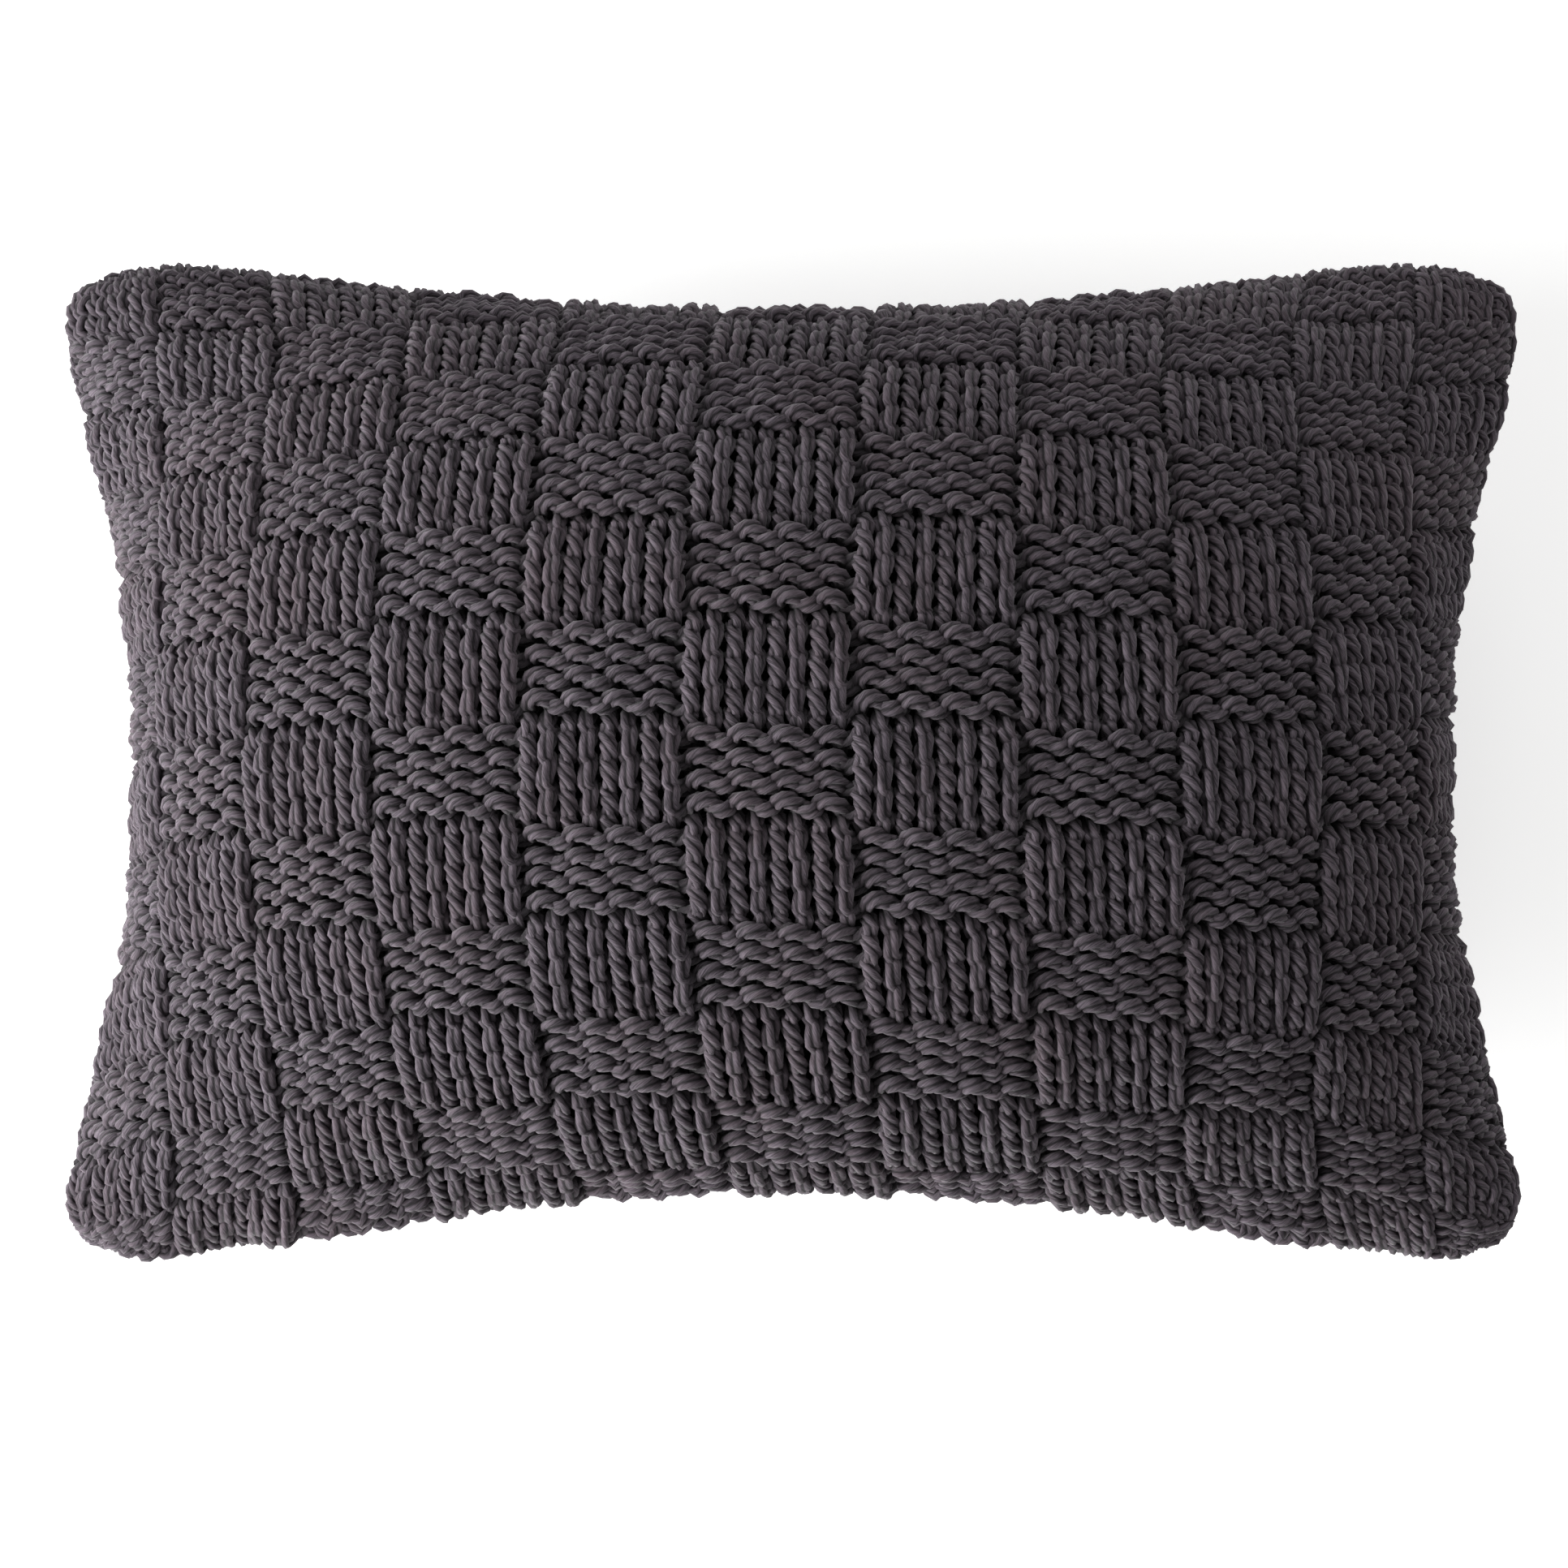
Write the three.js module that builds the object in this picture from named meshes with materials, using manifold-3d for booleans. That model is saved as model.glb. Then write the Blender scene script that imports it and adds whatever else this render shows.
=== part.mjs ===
// A knitted lumbar pillow with a zipped cover, lying on its back.
// Millimetres, +X along the length, +Y towards the top edge, +Z out of the front face.
import * as THREE from 'three';
import { mergeVertices } from 'three/addons/utils/BufferGeometryUtils.js';
import loadManifold from 'manifold-3d';

// Whole pillow: length and width run between the corners before they are rounded, which
// makes a finished pillow of 508 by 356
const pillowLength = 554;
const pillowWidth = 392;
const frontCrown = 104; // seam plane to the top of the front face
const backDepth = 84; // seam plane to the face that the pillow lies on
const sidePullIn = 43; // how far each edge bows in between its corners
const topPullIn = 35;
const bottomPullIn = 47;
const cornerRadius = 106;

// Layers, from outside to inside
const knitThickness = 11;
const liningThickness = 1;
const shellThickness = 0.8;
const layerGap = 0.3;
const insertClearance = 3;
const seamYarnHeight = 2;
const seamYarnWidth = 6;
const seamYarnInset = 2.5;

// Zip, sewn along the inside of the bottom edge
const zipLength = 300;
const tapeWidth = 12;
const tapeThickness = 0.7;
const tapeInset = 1.2; // how deep the tape sits in the knit wall
const tapeTail = 10; // tape beyond each end of the coils
const centreGap = 1.2; // between the two tapes
const coilSize = 1.2;
const coilRoom = 0.5; // room for the turns of wire around each coil's core
const stopLength = 3;
const arcStep = 20; // longest straight piece of a bar that follows the edge
const grooveWidth = 11; // slot in the knit that the slider runs in
const grooveTail = 26;

// Slider and pull tab
const sliderLength = 12;
const sliderNoseWidth = 8.6;
const sliderTailWidth = 7;
const plateThickness = 1;
const flangeThickness = 0.9;
const postThickness = 0.6;
const noseCut = 1.6;
const postLength = 2;
const postSetback = 0.5;
const bridgeWidth = 2.2;
const bridgeThickness = 1.1;
const bridgeSpan = 6.4;
const bridgeShoulder = 0.6; // share of the span that the top of the bridge takes
const tabLength = 24;
const tabWidth = 6.4;
const tabThickness = 1.2;
const tabHole = 1.5;
const runningGap = 0.4;
const fuse = 0.01; // how far two pieces of one body run into each other

// Shape of the bulge: the fabric turns down faster near the rim than a plain dome does
const columns = 24;
const rows = 16;
const middleSpread = 0.9;
const bulgePower = 0.75;
const cornerSharpness = 7;
const restFlatness = 1.1;

const { Manifold, Mesh } = await startManifold();

async function startManifold() {
  const library = await loadManifold();
  library.setup();
  return library;
}

// ---- solids -------------------------------------------------------------------------------

function toSolid(geometry) {
  const plain = geometry.clone();
  for (const name of Object.keys(plain.attributes)) {
    if (name !== 'position') plain.deleteAttribute(name);
  }
  const merged = mergeVertices(plain, 1e-4);
  return new Manifold(new Mesh({
    numProp: 3,
    vertProperties: new Float32Array(merged.attributes.position.array),
    triVerts: new Uint32Array(merged.index.array),
  }));
}

function toGeometry(solid) {
  const mesh = solid.getMesh();
  const geometry = new THREE.BufferGeometry();
  geometry.setAttribute('position', new THREE.BufferAttribute(mesh.vertProperties, 3));
  geometry.setIndex(new THREE.BufferAttribute(mesh.triVerts, 1));
  geometry.computeVertexNormals();
  return geometry;
}

// A box between two corners
function box(low, high) {
  const size = high.map((value, k) => value - low[k]);
  const middle = high.map((value, k) => (value + low[k]) / 2);
  return toSolid(new THREE.BoxGeometry(...size).translate(...middle));
}

function extruded(shape, depth) {
  return new THREE.ExtrudeGeometry(shape, { depth, bevelEnabled: false, curveSegments: 12 });
}

function outlined(points) {
  return new THREE.Shape(points.map(([x, y]) => new THREE.Vector2(x, y)));
}

function join(solids) {
  return solids.reduce((whole, solid) => whole.add(solid));
}

function named(name, solid, colour, roughness, metalness = 0) {
  const material = new THREE.MeshStandardMaterial({ color: colour, roughness, metalness });
  const mesh = new THREE.Mesh(toGeometry(solid), material);
  mesh.name = name;
  return mesh;
}

// ---- pillow surface -----------------------------------------------------------------------

// The angle of the bulge at a place between -1 and 1 across the fabric
function bulgeAngle(place) {
  return (Math.PI / 2) * place * (middleSpread + (1 - middleSpread) * place * place);
}

// Where a place across and along the fabric falls between the edges, from -1 to 1 each way.
// Along an edge the fabric lies flat and evenly spread; in the middle it follows the bulge.
function spread(across, along) {
  const sineX = Math.sin(bulgeAngle(across));
  const sineY = Math.sin(bulgeAngle(along));
  return [
    sineX + (across - sineX) * sineY * sineY,
    sineY + (along - sineY) * sineX * sineX,
  ];
}

// The plan position of a spread point, a distance inside the outermost layer
function planPoint([shareX, shareY], inset) {
  const pullY = shareY > 0 ? topPullIn : bottomPullIn;
  const spanX = pillowLength / 2 - inset - sidePullIn * (1 - shareY * shareY);
  const spanY = pillowWidth / 2 - inset - pullY * (1 - shareX * shareX);
  const cornerCut = Math.max(cornerRadius - inset, 0) * (1 - Math.SQRT1_2);
  const cut = cornerCut * Math.abs(shareX * shareY) ** cornerSharpness;
  return [shareX * spanX - Math.sign(shareX) * cut, shareY * spanY - Math.sign(shareY) * cut];
}

// A point of the front (side 1) or back (side -1) surface of a layer
function layerPoint(across, along, inset, side, rimGap) {
  const [x, y] = planPoint(spread(across, along), inset);
  const upright = Math.cos(bulgeAngle(across)) * Math.cos(bulgeAngle(along));
  const atRim = 1 - Math.max(Math.abs(across), Math.abs(along)) < 1e-9;
  const fullness = atRim ? 0 : upright ** bulgePower;
  const height = side > 0
    ? (frontCrown - rimGap - inset) * fullness
    : (backDepth - rimGap - inset) * Math.min(1, fullness * restFlatness);
  return [x, y, backDepth + side * (rimGap + height)];
}

function layerGrid(inset, side, rimGap) {
  const points = [];
  for (let j = 0; j <= rows; j += 1) {
    for (let i = 0; i <= columns; i += 1) {
      points.push(layerPoint(2 * i / columns - 1, 2 * j / rows - 1, inset, side, rimGap));
    }
  }
  return points;
}

// Triangles of a grid, split along the diagonal that leans towards the nearer corner
function gridTriangles(start, flip) {
  const triangles = [];
  const at = (i, j) => start + j * (columns + 1) + i;
  for (let j = 0; j < rows; j += 1) {
    for (let i = 0; i < columns; i += 1) {
      const [a, b, c, d] = [at(i, j), at(i + 1, j), at(i + 1, j + 1), at(i, j + 1)];
      const rising = (i < columns / 2) === (j < rows / 2);
      const pair = rising ? [[a, b, c], [a, c, d]] : [[a, b, d], [b, c, d]];
      for (const [p, q, r] of pair) triangles.push(...(flip ? [p, r, q] : [p, q, r]));
    }
  }
  return triangles;
}

// Grid places around the rim, counter-clockwise from the first corner
function rimPlaces() {
  const places = [];
  for (let i = 0; i < columns; i += 1) places.push(i);
  for (let j = 0; j < rows; j += 1) places.push(j * (columns + 1) + columns);
  for (let i = columns; i > 0; i -= 1) places.push(rows * (columns + 1) + i);
  for (let j = rows; j > 0; j -= 1) places.push(j * (columns + 1));
  return places;
}

// A closed skin from two grids that share the same layout and face away from each other
function closedSkin(outer, inner, side) {
  const half = outer.length;
  const triangles = [...gridTriangles(0, side < 0), ...gridTriangles(half, side > 0)];
  const rim = rimPlaces();
  rim.forEach((place, k) => {
    const next = rim[(k + 1) % rim.length];
    const strip = [place, next + half, next, place, place + half, next + half];
    if (side < 0) strip.reverse();
    triangles.push(...strip);
  });
  const geometry = new THREE.BufferGeometry();
  geometry.setAttribute('position', new THREE.Float32BufferAttribute([...outer, ...inner].flat(), 3));
  geometry.setIndex(triangles);
  return toSolid(geometry);
}

// Half of a hollow layer, open at the seam plane
function halfLayer(inset, thickness, side, rimGap) {
  const outer = layerGrid(inset, side, rimGap);
  const inner = layerGrid(inset + thickness, side, rimGap);
  return closedSkin(outer, inner, side);
}

// The stuffing: both sides of one surface, joined by a short upright rim
function fullBody(inset, rimGap) {
  return closedSkin(layerGrid(inset, 1, rimGap), layerGrid(inset, -1, rimGap), 1);
}

// ---- zip line: an arc along the bottom edge, with its centre outside the pillow -------------

const bottomMiddle = -(pillowWidth / 2 - bottomPullIn);
const edgeRadius = (pillowLength / 2) ** 2 / (2 * bottomPullIn);
const arcCentreY = bottomMiddle - edgeRadius;
const tapeInnerRadius = edgeRadius + knitThickness - tapeInset + tapeThickness;
const coilDepth = tapeThickness + coilRoom;
const coilTop = coilDepth + coilSize + coilRoom;
const coilStart = centreGap / 2 + coilRoom / 2;
const coilEnd = coilStart + coilSize;

// A bar that follows the zip line: along is measured on the arc, depth from the tape's inner
// face towards the outside, and height from the seam plane
function zipBar([fromAlong, toAlong], [fromDepth, toDepth], [fromHeight, toHeight]) {
  const steps = Math.ceil((toAlong - fromAlong) / arcStep);
  const side = (depth) => Array.from({ length: steps + 1 }, (unused, k) => {
    const angle = (fromAlong + (toAlong - fromAlong) * k / steps) / tapeInnerRadius;
    const radius = tapeInnerRadius - depth;
    return new THREE.Vector2(radius * Math.sin(angle), radius * Math.cos(angle));
  });
  const shape = new THREE.Shape([...side(toDepth), ...side(fromDepth).reverse()]);
  const bar = extruded(shape, toHeight - fromHeight);
  return toSolid(bar.translate(0, arcCentreY, backDepth + fromHeight));
}

function mirrored(range, side) {
  return side > 0 ? range : [-range[1], -range[0]];
}

function zipTape(side) {
  const reach = zipLength / 2 + tapeTail;
  const height = mirrored([centreGap / 2, centreGap / 2 + tapeWidth], side);
  return zipBar([-reach, reach], [0, tapeThickness], height);
}

function zipCoil(side) {
  const reach = zipLength / 2 - stopLength - layerGap;
  const height = mirrored([coilStart, coilEnd], side);
  return zipBar([-reach, reach], [coilDepth, coilDepth + coilSize], height);
}

const stopDepth = [tapeThickness + layerGap, coilTop];

function topStop(side) {
  const start = -zipLength / 2;
  const height = mirrored([centreGap / 2, coilEnd + coilRoom], side);
  return zipBar([start, start + stopLength], stopDepth, height);
}

function bottomStop() {
  const end = zipLength / 2;
  const reach = coilEnd + coilRoom;
  return zipBar([end - stopLength, end], stopDepth, [-reach, reach]);
}

// ---- cover, lining, seam yarn ---------------------------------------------------------------

const seamHalf = seamYarnHeight / 2 + layerGap;
const thinRim = layerGap / 2;
const tapeEdge = centreGap / 2 + tapeWidth + layerGap;

// Room in the knit for the slider's groove and for the tapes behind it
function zipRoom() {
  const grooveReach = zipLength / 2 + grooveTail;
  const tapeReach = zipLength / 2 + tapeTail + layerGap;
  const past = knitThickness * 3;
  const grooveHalf = grooveWidth / 2;
  const tapeDepth = [-past, tapeThickness + layerGap];
  const groove = zipBar([-grooveReach, grooveReach], [-past, past], [-grooveHalf, grooveHalf]);
  const tapes = zipBar([-tapeReach, tapeReach], tapeDepth, [-tapeEdge, tapeEdge]);
  return groove.add(tapes);
}

function liningRoom() {
  const reach = zipLength / 2 + grooveTail;
  const past = knitThickness * 3;
  return zipBar([-reach, reach], [-past, past], [-tapeEdge, tapeEdge]);
}

function coverPanel(side) {
  return halfLayer(0, knitThickness, side, seamHalf).subtract(zipRoom());
}

const liningInset = knitThickness + layerGap;

function liningPanel(side) {
  return halfLayer(liningInset, liningThickness, side, thinRim).subtract(liningRoom());
}

// A flat band between the rims of the two panels, open along the zip
function seamYarn() {
  const ringPoints = (inset) => rimPlaces().map((place) => {
    const i = place % (columns + 1);
    const j = Math.floor(place / (columns + 1));
    const [x, y] = layerPoint(2 * i / columns - 1, 2 * j / rows - 1, inset, 1, 0);
    return new THREE.Vector2(x, y);
  });
  const shape = new THREE.Shape(ringPoints(seamYarnInset));
  shape.holes.push(new THREE.Path(ringPoints(seamYarnInset + seamYarnWidth).reverse()));
  const band = extruded(shape, seamYarnHeight).translate(0, 0, backDepth - seamYarnHeight / 2);
  return toSolid(band).subtract(zipRoom());
}

// ---- insert ---------------------------------------------------------------------------------

const insertInset = liningInset + liningThickness + insertClearance;
const fillInset = insertInset + shellThickness + layerGap;

function insertShell(side) {
  return halfLayer(insertInset, shellThickness, side, thinRim);
}

// ---- slider and tab, drawn with the zip running along X and the outside towards -Y ------------

const frontPlateDepth = coilTop + runningGap;
const plateFace = frontPlateDepth + plateThickness;
const bridgeRise = 2 * tabThickness + 2 * runningGap + bridgeThickness;
const tabPivotRise = runningGap + tabThickness / 2;
const tabPivotDepth = plateFace + tabPivotRise;

// A plate with a cut nose that narrows towards its tail, between two depths
function sliderPlate(fromDepth, toDepth) {
  const nose = sliderNoseWidth / 2;
  const tail = sliderTailWidth / 2;
  const end = sliderLength / 2;
  const oneSide = [[-end, nose - noseCut], [-end + noseCut, nose], [0, nose], [end, tail]];
  const otherSide = oneSide.map(([x, y]) => [x, -y]).reverse();
  const plate = extruded(outlined([...oneSide.reverse(), ...otherSide.reverse()]), toDepth - fromDepth);
  return toSolid(plate.rotateX(Math.PI / 2).translate(0, -fromDepth, 0));
}

// A box in slider axes: along the zip, outwards, and across the chain
function sliderBox([x0, x1], [depth0, depth1], [z0, z1]) {
  return box([x0, -depth1, z0], [x1, -depth0, z1]);
}

// An arch that stands on the slider's face, with sloping shoulders
function arch(half, rise, foot) {
  const top = half * bridgeShoulder;
  const right = [[half, -foot], [half, rise / 2], [top, rise]];
  const left = [[-top, rise], [-half, rise / 2], [-half, -foot]];
  return toSolid(extruded(outlined([...right, ...left]), bridgeWidth));
}

// The loop that holds the tab
function bridge() {
  const half = bridgeSpan / 2;
  const opening = arch(half - bridgeThickness, bridgeRise - bridgeThickness, bridgeThickness);
  const loop = arch(half, bridgeRise, fuse).subtract(opening);
  return loop.translate([0, 0, -bridgeWidth / 2]).rotate([180, 0, 0]).translate([0, -plateFace, 0]);
}

function sliderBody() {
  const end = sliderLength / 2;
  const flangeEdge = sliderTailWidth / 2;
  const flangeDepth = [tapeThickness + runningGap, frontPlateDepth + fuse];
  const flanges = [1, -1].map((side) => {
    const height = mirrored([flangeEdge - flangeThickness, flangeEdge], side);
    return sliderBox([-end / 2, end - fuse], flangeDepth, height);
  });
  const postStart = postSetback - end;
  const post = sliderBox(
    [postStart, postStart + postLength],
    [-runningGap - fuse, frontPlateDepth + fuse],
    [-postThickness / 2, postThickness / 2],
  );
  const backPlate = sliderPlate(-runningGap - plateThickness, -runningGap);
  const frontPlate = sliderPlate(frontPlateDepth, plateFace);
  return join([backPlate, frontPlate, ...flanges, post, bridge()]);
}

// The tab's origin is the bar that turns under the bridge
function pullTab() {
  const halfWidth = tabWidth / 2;
  const halfBar = tabThickness / 2;
  const roundEnd = tabLength - halfWidth;
  const windowEnd = Math.hypot(bridgeSpan / 2, bridgeRise - tabPivotRise) + runningGap;
  const windowHalf = bridgeWidth / 2 + runningGap;
  const shape = new THREE.Shape();
  shape.moveTo(-halfBar, -halfWidth);
  shape.lineTo(roundEnd, -halfWidth);
  shape.absarc(roundEnd, 0, halfWidth, -Math.PI / 2, Math.PI / 2, false);
  shape.lineTo(-halfBar, halfWidth);
  const nearSide = [[halfBar, -windowHalf], [halfBar, windowHalf]];
  const farSide = [[windowEnd, windowHalf], [windowEnd, -windowHalf]];
  const hole = new THREE.Path();
  hole.absarc(roundEnd, 0, tabHole, 0, Math.PI * 2, true);
  shape.holes.push(outlined([...nearSide, ...farSide]), hole);
  const plate = extruded(shape, tabThickness);
  return toSolid(plate.rotateX(Math.PI / 2).translate(0, tabThickness / 2, 0));
}

// A group at a place along the zip, turned to follow the arc
function zipCarriage(along) {
  const angle = along / tapeInnerRadius;
  const group = new THREE.Group();
  group.position.set(
    tapeInnerRadius * Math.sin(angle),
    arcCentreY + tapeInnerRadius * Math.cos(angle),
    backDepth,
  );
  group.rotation.z = -angle;
  return group;
}

// ---- assembly -------------------------------------------------------------------------------

const knitColour = 0x4b4648;
const liningColour = 0x1c1b1d;
const insertColour = 0xe9e6df;
const fillColour = 0xf4f3ef;
const tapeColour = 0x2a282a;
const coilColour = 0x333133;
const metalColour = 0x4a4a4d;
const knitRoughness = 0.95;
const clothRoughness = 0.9;
const coilRoughness = 0.5;
const metalRoughness = 0.35;

const pillow = new THREE.Group();
for (const [name, side] of [['front', 1], ['back', -1]]) {
  pillow.add(named(`cover_${name}_panel`, coverPanel(side), knitColour, knitRoughness));
  pillow.add(named(`lining_${name}`, liningPanel(side), liningColour, clothRoughness));
  pillow.add(named(`insert_shell_${name}`, insertShell(side), insertColour, clothRoughness));
  pillow.add(named(`zip_tape_${name}`, zipTape(side), tapeColour, clothRoughness));
  pillow.add(named(`zip_coil_${name}`, zipCoil(side), coilColour, coilRoughness));
  pillow.add(named(`zip_top_stop_${name}`, topStop(side), metalColour, metalRoughness, 1));
}
pillow.add(named('cover_seam_yarn', seamYarn(), knitColour, knitRoughness));
pillow.add(named('insert_fill', fullBody(fillInset, thinRim), fillColour, clothRoughness));
pillow.add(named('zip_bottom_stop', bottomStop(), metalColour, metalRoughness, 1));

const closedEnd = -zipLength / 2 + stopLength + layerGap + sliderLength / 2;
const carriage = zipCarriage(closedEnd);
carriage.add(named('zip_slider', sliderBody(), metalColour, metalRoughness, 1));
const tab = named('zip_pull_tab', pullTab(), metalColour, metalRoughness, 1);
tab.position.y = -tabPivotDepth;
carriage.add(tab);
pillow.add(carriage);

export default pillow;
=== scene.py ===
# %% [markdown]
# # A hand-knitted throw pillow
# The pillow has a cover knitted from thick charcoal yarn in basket weave: squares of four knit stitches
# by four rows change places with squares of four purl stitches by four rows. Under the open knit lie a
# dark lining and a white cotton insert, and a zip closes the bottom seam. Every loop of yarn here is real
# geometry, because the ropes, bumps and dark gaps between them are what the eye sees on such a cover.

# %% Load the frame
import math
import bpy
import bmesh
import numpy as np
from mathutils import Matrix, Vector


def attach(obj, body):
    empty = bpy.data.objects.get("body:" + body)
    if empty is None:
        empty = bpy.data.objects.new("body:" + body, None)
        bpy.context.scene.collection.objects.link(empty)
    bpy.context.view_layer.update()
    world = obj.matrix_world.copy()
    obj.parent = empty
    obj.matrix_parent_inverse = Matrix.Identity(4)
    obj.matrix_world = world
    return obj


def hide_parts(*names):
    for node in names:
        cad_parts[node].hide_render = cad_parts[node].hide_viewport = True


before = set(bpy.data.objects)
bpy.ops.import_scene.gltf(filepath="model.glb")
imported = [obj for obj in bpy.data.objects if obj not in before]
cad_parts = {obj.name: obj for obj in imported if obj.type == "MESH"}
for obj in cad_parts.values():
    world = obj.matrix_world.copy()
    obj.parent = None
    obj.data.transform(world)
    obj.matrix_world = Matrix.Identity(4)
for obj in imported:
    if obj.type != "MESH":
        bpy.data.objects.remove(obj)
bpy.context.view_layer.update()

# %% [markdown]
# ## The camera, the floor and the light
# The pillow lies on its back and the camera looks straight down at its knitted front, with a long lens,
# so that the outline keeps its true shape. The strongest lamp is a wide soft box low on the left, which
# rakes over the loops. Three weaker ones and a dim sky fill the shadows, as round a product table.

# %% Camera
LENS = 100
CAMERA_PLACE = (-0.0029, -0.0065, 1.62)


def add_object(name, data):
    """Puts an object with this data into the scene."""
    thing = bpy.data.objects.new(name, data)
    bpy.context.scene.collection.objects.link(thing)
    return thing


camera = add_object("camera", bpy.data.cameras.new("camera"))
camera.data.lens = LENS
camera.location = CAMERA_PLACE
bpy.context.scene.camera = camera
print("camera", tuple(camera.location))


# %% Lights and sky
LIT_POINT = Vector((0, 0, 0.1))
SKY_COLOUR, SKY_STRENGTH = (1, 0.985, 0.97, 1), 0.20


def soft_box(name, place, size, watts):
    """A square lamp that faces the middle of the pillow."""
    data = bpy.data.lights.new(name, "AREA")
    data.shape, data.size, data.energy = "SQUARE", size, watts
    lamp = add_object(name, data)
    lamp.location = place
    lamp.rotation_euler = (LIT_POINT - Vector(place)).to_track_quat("-Z", "Y").to_euler()


soft_box("left_light", (-1.8, -0.5, 0.72), 1.3, 104)
soft_box("right_light", (1.8, 0.5, 0.8), 1.6, 9)
soft_box("upper_light", (0.4, 1.8, 1.2), 1.1, 14)
soft_box("lower_light", (-1.0, -1.8, 0.8), 1.1, 7)
world = bpy.data.worlds.new("sky")
world.use_nodes = True
sky = world.node_tree.nodes["Background"]
sky.inputs["Color"].default_value = SKY_COLOUR
sky.inputs["Strength"].default_value = SKY_STRENGTH
bpy.context.scene.world = world
bpy.context.scene.view_settings.view_transform = "Standard"

# %% [markdown]
# ## Numbers that become nodes
# Both materials and Geometry Nodes do their sums with Math nodes. Wiring fifty of them by hand is slow to
# read, so this small class lets the script write an ordinary formula: adding two fields adds a Math node.
# The same formulas also take plain NumPy numbers, so one rule for the pillow's surface serves every piece.


# %% A formula writer
class Field:
    """A number inside a node tree."""
    tree = None

    def __init__(self, socket):
        self.socket = socket

    def __add__(self, other): return calc("ADD", self, other)
    def __radd__(self, other): return calc("ADD", other, self)
    def __sub__(self, other): return calc("SUBTRACT", self, other)
    def __rsub__(self, other): return calc("SUBTRACT", other, self)
    def __mul__(self, other): return calc("MULTIPLY", self, other)
    def __rmul__(self, other): return calc("MULTIPLY", other, self)
    def __truediv__(self, other): return calc("DIVIDE", self, other)
    def __rtruediv__(self, other): return calc("DIVIDE", other, self)
    def __pow__(self, other): return calc("POWER", self, other)
    def __neg__(self): return calc("MULTIPLY", self, -1.0)


def wire(value, socket):
    """Puts a field, a socket or a plain value into a socket."""
    if isinstance(value, Field):
        value = value.socket
    if isinstance(value, bpy.types.NodeSocket):
        Field.tree.links.new(value, socket)
    else:
        socket.default_value = value


def add_node(kind, settings=None, **inputs):
    """Adds a node to the current tree. Spaces in a socket's name are written as underscores."""
    node = Field.tree.nodes.new(kind)
    for name, value in (settings or {}).items():
        setattr(node, name, value)
    for name, value in inputs.items():
        wire(value, node.inputs[name.replace("_", " ")])
    return node


def calc(operation, *values):
    node = add_node("ShaderNodeMath", {"operation": operation})
    for value, socket in zip(values, node.inputs):
        wire(value, socket)
    return Field(node.outputs[0])


def either(operation, function):
    """A function that works on fields and on numbers."""
    def run(*values):
        if any(isinstance(v, Field) for v in values):
            return calc(operation, *values)
        return function(*values)
    return run


sine, cosine = either("SINE", np.sin), either("COSINE", np.cos)
least, most = either("MINIMUM", np.minimum), either("MAXIMUM", np.maximum)
size_of, sign_of = either("ABSOLUTE", np.abs), either("SIGN", np.sign)
power, floor_of = either("POWER", np.power), either("FLOOR", np.floor)
exceeds = either("GREATER_THAN", lambda a, b: np.where(a > b, 1.0, 0.0))


def between(value, low, high):
    return least(most(value, low), high)


def ease(value, start, end):
    """0 before start, 1 after end, smooth between them."""
    t = between((value - start) / (end - start), 0.0, 1.0)
    return t * t * (3 - 2 * t)


print("formula writer ready")

# %% [markdown]
# ## The shape that everything follows
# A stuffed pillow is two flat panels blown up against each other. It is thickest in the middle, thins out
# to a rim, and its edges are pulled in between the corners because the cloth is needed for the bulge.
# u runs across and v runs up, both from -1 to 1 on each panel. The sizes are those of the CAD part.

# %% The pillow's surface
LENGTH, WIDTH = 0.554, 0.392
FRONT_CROWN, BACK_DEPTH = 0.104, 0.084
SIDE_PULL, TOP_PULL, BOTTOM_PULL = 0.043, 0.035, 0.047
CORNER = 0.106
REST_FLATNESS, BULGE_POWER = 1.1, 0.75
SEAM = BACK_DEPTH


def bulge(p):
    return math.pi / 2 * p * (0.9 + 0.1 * p * p)


def plan_point(u, v, inset):
    """Where a point of a panel lies, seen from above, and the two bulge angles."""
    across, along = bulge(u), bulge(v)
    sa, sb = sine(across), sine(along)
    gx, gy = sa + (u - sa) * sb * sb, sb + (v - sb) * sa * sa
    pull = BOTTOM_PULL + (TOP_PULL - BOTTOM_PULL) * exceeds(gy, 0.0)
    span_x = (LENGTH / 2 - inset) - SIDE_PULL * (1 - gy * gy)
    span_y = (WIDTH / 2 - inset) - pull * (1 - gx * gx)
    cut = (CORNER - inset) * (1 - math.sqrt(0.5)) * power(size_of(gx * gy), 7.0)
    return gx * span_x - sign_of(gx) * cut, gy * span_y - sign_of(gy) * cut, across, along


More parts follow.
